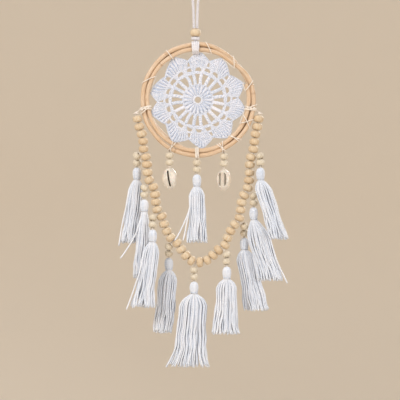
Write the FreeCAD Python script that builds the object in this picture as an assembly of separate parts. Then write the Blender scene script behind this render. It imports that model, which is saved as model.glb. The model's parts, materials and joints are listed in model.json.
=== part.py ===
import FreeCAD, Part

import math
import os

from FreeCAD import Placement, Rotation, Vector

# A dream catcher to hang from a nail: a hoop of rattan cane with a crochet doily laced into it, held up
# by a doubled cotton cord. A garland of wooden beads hangs from the sides of the hoop, with nine cotton
# tassels on it. Two cowrie shells and a tenth tassel hang from the bottom of the hoop.
# Lengths are in millimetres. +X is the viewer's right, +Z is up and the front faces -Y.
# The origin is the inside of the hanging loop's top, where the nail goes.

# Hoop of three turns of cane: two side by side at the front and one behind, in the groove between them.
HOOP_CENTRE = Vector(2.4, 0, -125)
HOOP_OUTER_RADIUS = 57.7
CANE_DIAMETER = 4.6
CANE_GAP = 0.1
CANE_SPACING = CANE_DIAMETER + CANE_GAP
OUTER_CANE_RADIUS = HOOP_OUTER_RADIUS - CANE_DIAMETER / 2
INNER_CANE_RADIUS = OUTER_CANE_RADIUS - CANE_SPACING
BACK_CANE_RADIUS = (OUTER_CANE_RADIUS + INNER_CANE_RADIUS) / 2
FRONT_CANE_Y = -2.0
BACK_CANE_Y = FRONT_CANE_Y + CANE_SPACING * math.sin(math.radians(60))
HOOP_HALF_DEPTH = 4.65
HOOP_INNER_RADIUS = INNER_CANE_RADIUS - CANE_DIAMETER / 2

# Doily: a round of crochet with ten petals.
PETALS = 10
DOILY_THICKNESS = 2.4
PETAL_TIP_RADIUS = 46.2
PETAL_VALLEY_RADIUS = 40.0
PETAL_STEP = 360 / PETALS
EYE_RADIUS = 3.3
SPACES = 2 * PETALS
SPACE_INNER_RADIUS = 16.5
SPACE_OUTER_RADIUS = 25.5
POST_WIDTH = 1.8
SMALL_HOLE_RADIUS = 2.3
SMALL_HOLE_RING = 30.8
SLIT_WIDTH = 2.0
SLIT_RING = 36.4
SLIT_LENGTH = 3.4

# Ties: threads that go round the hoop, as closed frames of a small section.
TIE_CLEARANCE = 0.3
LACING_WIDTH = 1.3
LACING_THICKNESS = 1.1
LACING_ANGLES = (122, 157, 78, 46, 15, -24, -46)
GARLAND_TIE_WIDTH = 2.6
GARLAND_TIE_THICKNESS = 1.3
DROP_TIE_WIDTH = 3.0

# A corner of a cord's route that turns less than this, in radians, counts as straight.
STRAIGHT_ON = 0.001

# Hanging loop: one cotton cord, doubled. Both ends go down into the whipping on top of the strap.
LOOP_CORD_DIAMETER = 2.8
LOOP_ROUTE = [
    (-1.5, -61.8), (-1.6, -47.0), (-2.3, -30.0), (-3.8, -14.0), (-4.4, -5.5), (-3.4, 1.4),
    (3.4, 1.4), (4.4, -5.5), (3.7, -14.5), (2.2, -30.5), (1.6, -47.5), (1.5, -61.8),
]
HANGER_BEAD_DIAMETER = 10.7
HANGER_BEAD_HEIGHT = 8.0
HANGER_BEAD_BORE = 6.2
WHIPPING_TOP = -62.0
WHIPPING_HEIGHT = 3.2
WHIPPING_WIDTH = 9.0
WHIPPING_DEPTH = 6.8

# Strap: a cotton band round the hoop's top, with a round top end that turns under the whipping.
STRAP_PIVOT_Z = -68.4
STRAP_TOP_RADIUS = 3.0
STRAP_HALF_WIDTH = 3.9
STRAP_END_HALF_WIDTH = 3.2
STRAP_BOTTOM = -78.6
STRAP_FRONT = -7.2
STRAP_BACK = 6.4

# Garland: beads on a cord that hangs in a U from two knots at the sides of the hoop.
GARLAND_PIVOT_Z = -138.0
GARLAND_CORD_DIAMETER = 1.5
GARLAND_ROUTE = [
    (-58.6, -139.9), (-56.9, -150.5), (-52.4, -162.0), (-52.1, -176.0), (-48.8, -183.0), (-48.3, -195.0),
    (-46.9, -205.4), (-41.3, -212.0), (-39.9, -224.0), (-39.0, -235.0), (-33.2, -240.8), (-31.2, -251.5),
    (-25.6, -262.8), (-18.3, -267.4), (-12.6, -277.2), (-4.9, -286.0), (4.2, -287.8), (14.5, -284.3),
    (21.8, -274.9), (29.6, -271.6), (32.4, -261.6), (37.8, -250.4), (44.0, -245.3), (45.4, -233.6),
    (46.8, -222.0), (52.4, -215.3), (54.2, -199.8), (54.4, -183.4), (58.2, -176.0), (58.9, -163.0),
    (62.0, -151.0), (63.5, -139.9),
]
GARLAND_TIE_ANGLES = (189, -9)
GARLAND_KNOT_RADIUS = 1.6
GARLAND_BEADS = 43
BEAD_DIAMETER = 10.4
BEAD_BORE = 3.2
BEAD_GAP = 0.65
BEAD_END_GAP = 4.2
BEAD_TIE_GAP = 0.8

# Drops: a thread with two small beads, and a tassel or a shell under them.
THREAD_DIAMETER = 1.0
DROP_BEAD_DIAMETER = 8.3
DROP_BEAD_HEIGHT = 6.1
DROP_BEAD_BORE = 3.2
DRILL_PAST_MIDDLE = 0.8
DROP_BEAD_SPACING = 7.0
DROP_BEAD_REACH = 8.2
PIVOT_BELOW_BEAD = 4.2
THREAD_START = 1.4

# Tassels hang in three layers, so that each can swing past its neighbours and the garland.
LAYER_Y = 9.0
HEAD_RADIUS = 4.4
HEAD_TOP_GAP = 0.7
NECK_RADIUS = 3.4
BINDING_RADIUS = 4.6
BINDING_HEIGHT = 4.4
BINDING_CLEARANCE = 0.05
SKIRT_HALF_DEPTH = 3.5
SKIRT_TOP_RADIUS = 2.6

# name: bead above the tie, layer (1 back, -1 front), lean of the skirt's end in X, skirt length,
# width at the middle, width at the end
GARLAND_TASSELS = {
    "left_1": (5, 1, -8.0, 65, 16.5, 17),
    "left_2": (9, 0, -3.7, 67, 13.5, 14.5),
    "left_3": (13, -1, -9.7, 66, 18, 24),
    "left_4": (17, 1, -5.9, 64, 20, 18),
    "bottom": (21, 0, -5.0, 74, 30, 44),
    "right_4": (25, -1, -1.5, 56, 22, 30),
    "right_3": (29, 1, 12.5, 62, 21, 27),
    "right_2": (33, 0, 17.5, 62, 24, 22),
    "right_1": (38, -1, 18.5, 60, 18, 15),
}
HOOP_TASSEL = (0.8, 57, 17, 21)
HOOP_DROP_X = {"left": -25.8, "centre": 1.4, "right": 28.4}

# Cowrie shells, with the slit in front at rest and the shell's back turned for the right-hand one.
SHELL_HEIGHT = 22.0
SHELL_WIDTH = 15.5
SHELL_DEPTH = 11.0
SHELL_SLIT_WIDTH = 1.4
SHELL_SLIT_BOW = 24.0
SHELL_KNOT_RADIUS = 1.0
SHELL_TURN = {"left": 0, "right": 150}


def in_plane(x, z):
    return Vector(x, 0, z)


def hoop_point(radius, angle):
    turn = math.radians(angle)
    return HOOP_CENTRE + Vector(radius * math.cos(turn), 0, radius * math.sin(turn))


def hoop_bottom(x):
    return HOOP_CENTRE.z - math.sqrt(HOOP_OUTER_RADIUS ** 2 - (x - HOOP_CENTRE.x) ** 2)


def line(start, end):
    return Part.LineSegment(start, end).toShape()


def arc(start, middle, end):
    return Part.Arc(start, middle, end).toShape()


# ---- cords ----

def rounded_route(points):
    """Straight runs joined by the largest tangent arcs that the runs allow, and the arcs' radii."""
    edges = []
    radii = []
    start = points[0]
    for before, corner, after in zip(points, points[1:], points[2:]):
        inward = (before - corner).normalize()
        outward = (after - corner).normalize()
        half_turn = (math.pi - inward.getAngle(outward)) / 2
        if half_turn < STRAIGHT_ON:
            continue
        reach = 0.45 * min((before - corner).Length, (after - corner).Length)
        radius = reach / math.tan(half_turn)
        radii.append(radius)
        middle_way = (inward + outward).normalize()
        middle = corner + middle_way * (radius / math.cos(half_turn) - radius)
        edges.append(line(start, corner + inward * reach))
        edges.append(arc(corner + inward * reach, middle, corner + outward * reach))
        start = corner + outward * reach
    edges.append(line(start, points[-1]))
    return edges, radii


def tube(name, points, diameter):
    edges, radii = rounded_route(points)
    path = Part.Wire(edges)
    section = Part.Wire(Part.Circle(points[0], points[1] - points[0], diameter / 2).toShape())
    solid = path.makePipeShell([section], True, True)
    plain_volume = math.pi * diameter ** 2 / 4 * path.Length
    print(f"{name}: length {path.Length:.1f}, volume {solid.Volume / plain_volume:.4f} of section x length,"
          f" radii {', '.join(f'{radius:.1f}' for radius in radii)}")
    return solid, edges


def point_along(edges, distance):
    for edge in edges:
        if distance <= edge.Length:
            break
        distance -= edge.Length
    return edge.valueAt(edge.getParameterByLength(min(distance, edge.Length)))


def hanging_loop():
    solid, _ = tube("hanging_loop", [in_plane(x, z) for x, z in LOOP_ROUTE], LOOP_CORD_DIAMETER)
    return solid


# ---- beads ----

def ellipsoid(width, depth, height):
    stretch = FreeCAD.Matrix()
    stretch.scale(width / 2, depth / 2, height / 2)
    return Part.makeSphere(1).transformGeometry(stretch)


def bead(diameter, height, bore):
    """A turned bead: an ellipsoid that has the given height at the bore's edge."""
    whole = ellipsoid(diameter, diameter, height / math.sqrt(1 - (bore / diameter) ** 2))
    return whole.cut(Part.makeCylinder(bore / 2, 2 * height, Vector(0, 0, -height)))


def put_bead(shape, centre, direction):
    placed = shape.copy()
    placed.Placement = Placement(centre, Rotation(Vector(0, 0, 1), direction)).multiply(shape.Placement)
    return placed


def hanger_bead():
    centre_z = WHIPPING_TOP + 0.3 + HANGER_BEAD_HEIGHT / 2
    shape = bead(HANGER_BEAD_DIAMETER, HANGER_BEAD_HEIGHT, HANGER_BEAD_BORE)
    return put_bead(shape, Vector(0, 0, centre_z), Vector(0, 0, 1))


# ---- hanger and hoop ----

def strap_whipping():
    base = Part.Ellipse(Vector(0, 0, WHIPPING_TOP - WHIPPING_HEIGHT), WHIPPING_WIDTH / 2, WHIPPING_DEPTH / 2)
    return Part.Face(Part.Wire(base.toShape())).extrude(Vector(0, 0, WHIPPING_HEIGHT))


def hoop_strap():
    left = in_plane(-STRAP_TOP_RADIUS, STRAP_PIVOT_Z)
    right = in_plane(STRAP_TOP_RADIUS, STRAP_PIVOT_Z)
    shoulder_z = STRAP_PIVOT_Z - STRAP_TOP_RADIUS
    left_side = [
        in_plane(-STRAP_HALF_WIDTH, shoulder_z),
        in_plane(-STRAP_END_HALF_WIDTH, STRAP_BOTTOM),
    ]
    right_side = [
        in_plane(STRAP_END_HALF_WIDTH, STRAP_BOTTOM),
        in_plane(STRAP_HALF_WIDTH, shoulder_z),
    ]
    corners = [left] + left_side + right_side + [right]
    edges = [line(start, end) for start, end in zip(corners, corners[1:])]
    edges.append(arc(right, in_plane(0, STRAP_PIVOT_Z + STRAP_TOP_RADIUS), left))
    outline = Part.Wire(edges)
    outline.translate(Vector(0, STRAP_FRONT, 0))
    band = Part.Face(outline).extrude(Vector(0, STRAP_BACK - STRAP_FRONT, 0))
    base = HOOP_CENTRE - Vector(0, HOOP_HALF_DEPTH, 0)
    along_y = Vector(0, 1, 0)
    around = Part.makeCylinder(HOOP_OUTER_RADIUS + TIE_CLEARANCE, 2 * HOOP_HALF_DEPTH, base, along_y)
    within = Part.makeCylinder(HOOP_INNER_RADIUS - TIE_CLEARANCE, 2 * HOOP_HALF_DEPTH, base, along_y)
    return band.cut(around.cut(within))


def cane(radius, y):
    return Part.makeTorus(radius, CANE_DIAMETER / 2, HOOP_CENTRE + Vector(0, y, 0), Vector(0, 1, 0))


# ---- doily ----

def petal_outline():
    edges = []
    for number in range(PETALS):
        angle = 90 + number * PETAL_STEP
        start = hoop_point(PETAL_VALLEY_RADIUS, angle - PETAL_STEP / 2)
        tip = hoop_point(PETAL_TIP_RADIUS, angle)
        end = hoop_point(PETAL_VALLEY_RADIUS, angle + PETAL_STEP / 2)
        edges.append(arc(start, tip, end))
    return Part.Wire(edges)


def round_hole(radius, ring=0, angle=0):
    return Part.Wire(Part.Circle(hoop_point(ring, angle), Vector(0, 1, 0), radius).toShape())


def open_space(angle):
    """One space between two tall stitches: a piece of a ring, narrowed by a stitch's width."""
    step = 360 / SPACES
    inner_half = step / 2 - math.degrees(POST_WIDTH / 2 / SPACE_INNER_RADIUS)
    outer_half = step / 2 - math.degrees(POST_WIDTH / 2 / SPACE_OUTER_RADIUS)
    inner = [hoop_point(SPACE_INNER_RADIUS, angle + side * inner_half) for side in (-1, 0, 1)]
    outer = [hoop_point(SPACE_OUTER_RADIUS, angle + side * outer_half) for side in (1, 0, -1)]
    return Part.Wire([arc(*inner), line(inner[2], outer[0]), arc(*outer), line(outer[2], inner[0])])


def slit(angle):
    """A short slot with round ends, along the radius, in the valley between two petals."""
    half = SLIT_WIDTH / 2
    across = hoop_point(half, angle + 90) - HOOP_CENTRE
    low = hoop_point(SLIT_RING - SLIT_LENGTH / 2, angle)
    high = hoop_point(SLIT_RING + SLIT_LENGTH / 2, angle)
    low_end = hoop_point(SLIT_RING - SLIT_LENGTH / 2 - half, angle)
    high_end = hoop_point(SLIT_RING + SLIT_LENGTH / 2 + half, angle)
    return Part.Wire([
        arc(low - across, low_end, low + across),
        line(low + across, high + across),
        arc(high + across, high_end, high - across),
        line(high - across, low - across),
    ])


def crochet_doily():
    wires = [petal_outline(), round_hole(EYE_RADIUS)]
    for number in range(SPACES):
        angle = (number + 0.5) * 360 / SPACES
        wires.append(open_space(angle))
        wires.append(round_hole(SMALL_HOLE_RADIUS, SMALL_HOLE_RING, angle))
    for number in range(PETALS):
        wires.append(slit(90 + (number + 0.5) * PETAL_STEP))
    face = Part.Face(wires, "Part::FaceMakerBullseye")
    face.translate(Vector(0, -DOILY_THICKNESS / 2, 0))
    return face.extrude(Vector(0, DOILY_THICKNESS, 0))


# ---- ties ----

def rounded_rectangle(low_x, high_x, half_y, radius):
    """A rectangle with round corners in the XY plane, centred on Y = 0."""
    flat = half_y - radius
    inset = radius * (1 - math.sqrt(0.5))
    sides = []
    for x, end_x, sign in ((low_x, high_x, -1), (high_x, low_x, 1)):
        toward = 1 if end_x > x else -1
        sides.append(line(Vector(x, -sign * flat, 0), Vector(x, sign * flat, 0)))
        sides.append(arc(Vector(x, sign * flat, 0),
                         Vector(x + toward * inset, sign * (half_y - inset), 0),
                         Vector(x + toward * radius, sign * half_y, 0)))
        sides.append(line(Vector(x + toward * radius, sign * half_y, 0),
                          Vector(end_x - toward * radius, sign * half_y, 0)))
        sides.append(arc(Vector(end_x - toward * radius, sign * half_y, 0),
                         Vector(end_x - toward * inset, sign * (half_y - inset), 0),
                         Vector(end_x, sign * flat, 0)))
    return Part.Wire(sides)


def tie_round_hoop(angle, width, thickness):
    """A thread wound round the hoop at one place: a closed frame of the thread's thickness."""
    inner_x = HOOP_INNER_RADIUS - TIE_CLEARANCE
    outer_x = HOOP_OUTER_RADIUS + TIE_CLEARANCE
    corner = 1.5
    inner = rounded_rectangle(inner_x, outer_x, HOOP_HALF_DEPTH, corner)
    outer = rounded_rectangle(inner_x - thickness, outer_x + thickness, HOOP_HALF_DEPTH + thickness,
                              corner + thickness)
    frame = Part.Face([outer, inner], "Part::FaceMakerBullseye").extrude(Vector(0, 0, width))
    frame.translate(HOOP_CENTRE - Vector(0, 0, width / 2))
    frame.rotate(HOOP_CENTRE, Vector(0, 1, 0), -angle)
    return frame


def doily_lacing():
    return [tie_round_hoop(angle, LACING_WIDTH, LACING_THICKNESS) for angle in LACING_ANGLES]


def garland_ties():
    """On each side a tie round the hoop, and the knot under it that the garland hangs from."""
    ties = []
    for angle, route_end in zip(GARLAND_TIE_ANGLES, (GARLAND_ROUTE[0], GARLAND_ROUTE[-1])):
        tie = tie_round_hoop(angle, GARLAND_TIE_WIDTH, GARLAND_TIE_THICKNESS)
        knot = in_plane(route_end[0], GARLAND_PIVOT_Z)
        start = hoop_point(HOOP_OUTER_RADIUS + TIE_CLEARANCE + GARLAND_TIE_THICKNESS / 2, angle)
        link = Part.makeCylinder(THREAD_DIAMETER / 2, (knot - start).Length, start, knot - start)
        ball = Part.makeSphere(GARLAND_KNOT_RADIUS, knot)
        ties.append(tie.fuse([link, ball]).removeSplitter())
    return ties


# ---- garland ----

def garland():
    """The garland's cord, its beads, and the middle and outward direction of each gap for a drop."""
    solid, edges = tube("garland_cord", [in_plane(x, z) for x, z in GARLAND_ROUTE], GARLAND_CORD_DIAMETER)
    length = sum(edge.Length for edge in edges)
    tied_after = [spec[0] for spec in GARLAND_TASSELS.values()]
    free = length - 2 * BEAD_END_GAP - BEAD_TIE_GAP * len(tied_after)
    pitch = free / (GARLAND_BEADS - 1)
    height = pitch - BEAD_GAP
    print(f"garland beads: pitch {pitch:.2f}, height {height:.2f}")
    shape = bead(BEAD_DIAMETER, height, BEAD_BORE)
    beads = []
    gaps = {}
    distance = BEAD_END_GAP
    for number in range(1, GARLAND_BEADS + 1):
        direction = point_along(edges, distance + height / 2) - point_along(edges, distance - height / 2)
        beads.append(put_bead(shape, point_along(edges, distance), direction))
        step = pitch
        if number in tied_after:
            step = pitch + BEAD_TIE_GAP
            middle = point_along(edges, distance + step / 2)
            ahead = point_along(edges, distance + step) - point_along(edges, distance)
            gaps[number] = (middle, Vector(ahead.z, 0, -ahead.x).normalize())
        distance += step
    return solid, beads, gaps


# ---- drops ----

def drop_bead():
    """A small bead before it is bored: a ball with flat ends."""
    flat = math.degrees(math.asin(DROP_BEAD_HEIGHT / DROP_BEAD_DIAMETER))
    ball = Part.makeSphere(DROP_BEAD_DIAMETER / 2, Vector(0, 0, 0), Vector(0, 0, 1), -flat, flat, 360)
    ball.rotate(Vector(0, 0, 0), Vector(0, 0, 1), 90)
    return ball


def drill(start, end, past_end):
    along = end - start
    return Part.makeCylinder(DROP_BEAD_BORE / 2, along.Length + past_end, start, along)


def garland_drop(gap, layer):
    """Thread, two beads and pivot of a drop tied into a gap of the garland.

    The thread bends in the first bead, so that bead is drilled from both ends at an angle."""
    middle, outward = gap
    first = middle + outward * DROP_BEAD_REACH + Vector(0, 0.4 * layer * LAYER_Y, 0)
    second = first + Vector(0, 0.4 * layer * LAYER_Y, -DROP_BEAD_SPACING)
    pivot = Vector(second.x, layer * LAYER_Y, second.z - PIVOT_BELOW_BEAD)
    start = middle + (first - middle).normalize() * THREAD_START
    end = pivot + Vector(0, 0, HEAD_TOP_GAP)
    thread, _ = tube("thread", [start, first, second, end], THREAD_DIAMETER)
    upper_bore = drill(start, first, DRILL_PAST_MIDDLE)
    lower_bore = drill(end + (end - second), first, DRILL_PAST_MIDDLE)
    shape = drop_bead()
    beads = [
        put_bead(shape, first, second - middle).cut(upper_bore).cut(lower_bore),
        put_bead(shape, second, second - first).cut(lower_bore),
    ]
    return thread, beads, pivot


def hoop_drop(side):
    """Tie, thread, two beads and pivot of a drop on the hoop's bottom."""
    x = HOOP_DROP_X[side]
    edge_z = hoop_bottom(x)
    tie_z = edge_z - TIE_CLEARANCE - LACING_THICKNESS / 2
    angle = math.degrees(math.atan2(edge_z - HOOP_CENTRE.z, x - HOOP_CENTRE.x))
    first = in_plane(x, edge_z - TIE_CLEARANCE - LACING_THICKNESS - 0.6 - DROP_BEAD_HEIGHT / 2)
    second = first - Vector(0, 0, DROP_BEAD_SPACING)
    pivot = second - Vector(0, 0, PIVOT_BELOW_BEAD)
    tie = tie_round_hoop(angle, DROP_TIE_WIDTH, LACING_THICKNESS)
    length = tie_z - (pivot.z + 1.3 * SHELL_KNOT_RADIUS)
    stem = Part.makeCylinder(THREAD_DIAMETER / 2, length, in_plane(x, tie_z - length))
    bore = drill(in_plane(x, edge_z), pivot, 0)
    beads = [put_bead(drop_bead(), centre, Vector(0, 0, 1)).cut(bore) for centre in (first, second)]
    return tie.fuse(stem).removeSplitter(), beads, pivot


# ---- tassels ----

def tassel(pivot, lean, length, middle_width, end_width):
    """A cotton tassel: a round head, a neck under the binding, and a flat skirt that spreads and leans."""
    head_centre = HEAD_TOP_GAP + HEAD_RADIUS
    neck_bottom = head_centre + math.sqrt(HEAD_RADIUS ** 2 - NECK_RADIUS ** 2) + BINDING_HEIGHT
    head = Part.makeSphere(HEAD_RADIUS, pivot - Vector(0, 0, head_centre))
    neck_base = pivot - Vector(0, 0, neck_bottom)
    neck = Part.makeCylinder(NECK_RADIUS, neck_bottom - head_centre, neck_base)
    sections = [
        (0.0, SKIRT_TOP_RADIUS, SKIRT_TOP_RADIUS),
        (0.12, 0.31 * middle_width, SKIRT_HALF_DEPTH),
        (0.45, 0.5 * middle_width, SKIRT_HALF_DEPTH),
        (1.0, 0.5 * end_width, SKIRT_HALF_DEPTH),
    ]
    wires = []
    for share, half_width, half_depth in sections:
        centre = pivot + Vector(lean * share, 0, -neck_bottom - length * share)
        ellipse = Part.Ellipse(centre, max(half_width, half_depth + 0.01), half_depth)
        wires.append(Part.Wire(ellipse.toShape()))
    skirt = Part.makeLoft(wires, True, False)
    yarn = head.fuse([neck, skirt]).removeSplitter()
    outside = Part.makeCylinder(BINDING_RADIUS, BINDING_HEIGHT, neck_base)
    inside = Part.makeCylinder(NECK_RADIUS + BINDING_CLEARANCE, BINDING_HEIGHT, neck_base)
    binding = outside.cut(inside).cut(head.fuse(skirt))
    return yarn, binding


# ---- shells ----

def cowrie(pivot, turn):
    """An egg-shaped shell with a bowed slit down its flatter face, which looks to -Y before it is turned."""
    body = ellipsoid(SHELL_WIDTH, SHELL_DEPTH, SHELL_HEIGHT)
    slit_ring = Part.makeCylinder(SHELL_SLIT_BOW + SHELL_SLIT_WIDTH / 2, SHELL_DEPTH / 2,
                                  Vector(SHELL_SLIT_BOW, -SHELL_DEPTH * 0.75, 0), Vector(0, 1, 0))
    slit_core = Part.makeCylinder(SHELL_SLIT_BOW - SHELL_SLIT_WIDTH / 2, SHELL_DEPTH / 2,
                                  Vector(SHELL_SLIT_BOW, -SHELL_DEPTH * 0.75, 0), Vector(0, 1, 0))
    shell = body.cut(slit_ring.cut(slit_core))
    shell.rotate(Vector(0, 0, 0), Vector(0, 0, 1), turn)
    shell.translate(pivot - Vector(0, 0, 1.3 * SHELL_KNOT_RADIUS + SHELL_HEIGHT / 2))
    return shell


# ---- files ----

def write(node, solids):
    if not isinstance(solids, list):
        solids = [solids]
    shape = Part.makeCompound(solids) if len(solids) > 1 else solids[0]
    shape.exportStep(f"parts/{node}.step")
    if not shape.isValid():
        print(f"{node} is not valid")


def write_tassel(name, pivot, spec):
    yarn, binding = tassel(pivot, *spec)
    write(f"tassel_{name}", yarn)
    write(f"binding_{name}", binding)
    print(f"pivot {name}: {pivot.x:.2f}, {pivot.y:.2f}, {pivot.z:.2f}")


os.makedirs("parts", exist_ok=True)

write("hanging_loop", hanging_loop())
write("hanger_bead", hanger_bead())
write("strap_whipping", strap_whipping())
write("hoop_strap", hoop_strap())
write("hoop_cane_outer", cane(OUTER_CANE_RADIUS, FRONT_CANE_Y))
write("hoop_cane_inner", cane(INNER_CANE_RADIUS, FRONT_CANE_Y))
write("hoop_cane_back", cane(BACK_CANE_RADIUS, BACK_CANE_Y))
write("crochet_doily", crochet_doily())
write("doily_lacing", doily_lacing())
write("garland_ties", garland_ties())

garland_cord, garland_beads, garland_gaps = garland()
write("garland_cord", garland_cord)
write("garland_beads", garland_beads)
for name, (bead_above, layer, *skirt_spec) in GARLAND_TASSELS.items():
    drop_thread, drop_beads, drop_pivot = garland_drop(garland_gaps[bead_above], layer)
    write(f"thread_{name}", drop_thread)
    write(f"drop_beads_{name}", drop_beads)
    write_tassel(name, drop_pivot, skirt_spec)

for side in HOOP_DROP_X:
    drop_thread, drop_beads, drop_pivot = hoop_drop(side)
    write(f"thread_hoop_{side}", drop_thread)
    write(f"drop_beads_hoop_{side}", drop_beads)
    if side == "centre":
        write_tassel("hoop", drop_pivot, HOOP_TASSEL)
    else:
        write(f"cowrie_{side}", cowrie(drop_pivot, SHELL_TURN[side]))
        write(f"cowrie_knot_{side}", Part.makeSphere(SHELL_KNOT_RADIUS, drop_pivot))
        print(f"pivot cowrie {side}: {drop_pivot.x:.2f}, {drop_pivot.y:.2f}, {drop_pivot.z:.2f}")
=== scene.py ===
import json
import math

import bmesh
import bpy
import numpy as np
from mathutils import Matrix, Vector


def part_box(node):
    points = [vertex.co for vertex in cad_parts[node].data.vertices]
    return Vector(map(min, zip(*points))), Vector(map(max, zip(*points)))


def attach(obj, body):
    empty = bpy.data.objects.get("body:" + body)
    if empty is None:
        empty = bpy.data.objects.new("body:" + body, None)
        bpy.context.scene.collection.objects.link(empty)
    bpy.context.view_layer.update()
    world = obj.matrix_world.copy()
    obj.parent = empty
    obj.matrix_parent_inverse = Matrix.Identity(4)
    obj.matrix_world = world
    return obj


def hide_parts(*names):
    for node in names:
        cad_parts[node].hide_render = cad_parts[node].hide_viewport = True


# The looks of a hanging dream catcher: rope, cane, crochet, wooden beads, tassels and cowrie shells.
# Lengths are in metres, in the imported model's frame. +X is the viewer's right, +Z up, the front faces -Y.

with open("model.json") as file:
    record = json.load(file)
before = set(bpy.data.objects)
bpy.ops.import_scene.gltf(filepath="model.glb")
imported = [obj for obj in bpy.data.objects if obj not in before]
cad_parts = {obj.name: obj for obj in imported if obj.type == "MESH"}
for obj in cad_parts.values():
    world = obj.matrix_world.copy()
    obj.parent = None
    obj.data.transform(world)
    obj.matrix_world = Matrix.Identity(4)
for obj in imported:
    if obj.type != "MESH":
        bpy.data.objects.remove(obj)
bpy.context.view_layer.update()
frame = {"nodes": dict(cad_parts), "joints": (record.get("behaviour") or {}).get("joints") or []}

MM = 0.001
SEED = 20
rng = np.random.default_rng(SEED)

# Camera: straight in front, as far off as a short telephoto view needs to take in the object's width.
VIEW_WIDTH = 0.400
CAMERA_DISTANCE = 1.5
CAMERA_LENS = 135.0
CAMERA_AIM = Vector((0.0045, 0.0, -0.225))

# Cord routes, in the XZ plane. They are the same points as the CAD tubes have, in metres.
LOOP_ROUTE = [
    (-0.0015, -0.0618), (-0.0016, -0.0470), (-0.0023, -0.0300), (-0.0038, -0.0140), (-0.0044, -0.0055),
    (-0.0034, 0.0014), (0.0034, 0.0014), (0.0044, -0.0055), (0.0037, -0.0145), (0.0022, -0.0305),
    (0.0016, -0.0475), (0.0015, -0.0618),
]
LOOP_DIAMETER = 0.0028
LOOP_PLY_PITCH = 0.0068
GARLAND_ROUTE = [
    (-0.0586, -0.1399), (-0.0569, -0.1505), (-0.0524, -0.1620), (-0.0521, -0.1760), (-0.0488, -0.1830),
    (-0.0483, -0.1950), (-0.0469, -0.2054), (-0.0413, -0.2120), (-0.0399, -0.2240), (-0.0390, -0.2350),
    (-0.0332, -0.2408), (-0.0312, -0.2515), (-0.0256, -0.2628), (-0.0183, -0.2674), (-0.0126, -0.2772),
    (-0.0049, -0.2860), (0.0042, -0.2878), (0.0145, -0.2843), (0.0218, -0.2749), (0.0296, -0.2716),
    (0.0324, -0.2616), (0.0378, -0.2504), (0.0440, -0.2453), (0.0454, -0.2336), (0.0468, -0.2220),
    (0.0524, -0.2153), (0.0542, -0.1998), (0.0544, -0.1834), (0.0582, -0.1760), (0.0589, -0.1630),
    (0.0620, -0.1510), (0.0635, -0.1399),
]
GARLAND_DIAMETER = 0.0015
GARLAND_PLY_PITCH = 0.0035

# Hoop, from the frame.
outer_low, outer_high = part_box("hoop_cane_outer")
inner_low, inner_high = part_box("hoop_cane_inner")
back_low, back_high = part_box("hoop_cane_back")
HOOP = (outer_low + outer_high) / 2
CANE_RADIUS = (outer_high.y - outer_low.y) / 2
OUTER_TURN = (outer_high.x - outer_low.x) / 2 - CANE_RADIUS
INNER_TURN = (inner_high.x - inner_low.x) / 2 - CANE_RADIUS
BACK_TURN = (back_high.x - back_low.x) / 2 - CANE_RADIUS
FRONT_Y = HOOP.y
BACK_Y = (back_low.y + back_high.y) / 2
HOOP_INSIDE = INNER_TURN - CANE_RADIUS
HOOP_OUTSIDE = OUTER_TURN + CANE_RADIUS
HOOP_FRONT = FRONT_Y - CANE_RADIUS
HOOP_BACK = BACK_Y + CANE_RADIUS

# The one long cane, in degrees clockwise from its first end, which is at CANE_START. It begins in the
# front inside turn, crosses to the front outside turn, and a turn later to the one behind. A crossing is
# given by where it starts and how long it is.
CANE_START = 18.0
CANE_TURNS = {"inner": (0, 362), "outer": (362, 696), "back": (696, 1034)}
CANE_END = CANE_TURNS["back"][1]
TO_OUTER_TURN = (326, 36)
TO_BACK_TURN = (658, 38)
CANE_JOINT_SPACING = 0.117

# Beads, as turned. Each bead then differs a little from these.
GARLAND_BEAD_DIAMETER = 10.2 * MM
GARLAND_BEAD_HEIGHT = 7.3 * MM
GARLAND_BEAD_BORE = 2.4 * MM
DROP_BEAD_DIAMETER = 8.3 * MM
DROP_BEAD_HEIGHT = 6.6 * MM
DROP_BEAD_BORE = 1.9 * MM
HANGER_BEAD_BORE = 6.4 * MM

# Doily: the radii of its rounds of crochet.
PETALS = 10
PETAL_ANGLES = [90 + number * 360 / PETALS for number in range(PETALS)]
SPACES = 20
EYE_RING = 0.0041
DISC_EDGE = 0.0138
DISC_RING = 0.0149
POST_END = 0.0262
CHAIN_RING = 0.0272
NET_EDGE = 0.0332
PETAL_VALLEY = 0.0396
PETAL_TIP = 0.0488
PETAL_POSTS = 10
TIP_LIFT = 0.0008
# How far each petal is pulled round from its even place, in degrees, in the order of PETAL_ANGLES.
PETAL_PULL = (-1.5, -6.0, 8.0, -2.0, 5.0, 5.0, 4.0, 5.5, 1.0, 4.0)

# Slant of each turn of a lacing round the hoop, in degrees, by the angle that the lacing sits at.
LACING_SLANTS = {
    122: (0.5,), 157: (5.5,), 78: (4.0,), 46: (4.5,), 15: (4.0,),
    -24: (4.5, -4.5), -46: (1.0, 3.0),
}

TASSEL_NAMES = ("left_1", "left_2", "left_3", "left_4", "bottom", "right_4", "right_3", "right_2", "right_1")
STRAND_RADIUS = 0.00072
HEAD_STRANDS = 20
NECK_BELOW = 0.0123
# The head's outline: radii, and how far each of them is below the pivot.
HEAD_RADII = np.array([0.5, 2.0, 3.3, 3.75, 3.75, 3.5, 3.0, 2.45]) * MM
HEAD_LEVELS = np.array([0.9, 1.3, 3.0, 5.2, 7.4, 9.3, 10.9, 12.3]) * MM
END_SPREAD = 0.12
SHOULDER_END = 0.17
SLOPING_SHOULDER_END = 0.34
# These widen slowly under their necks, because a neighbour's beads are beside them.
SLOPING_TASSELS = ("left_2", "right_2")
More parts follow.
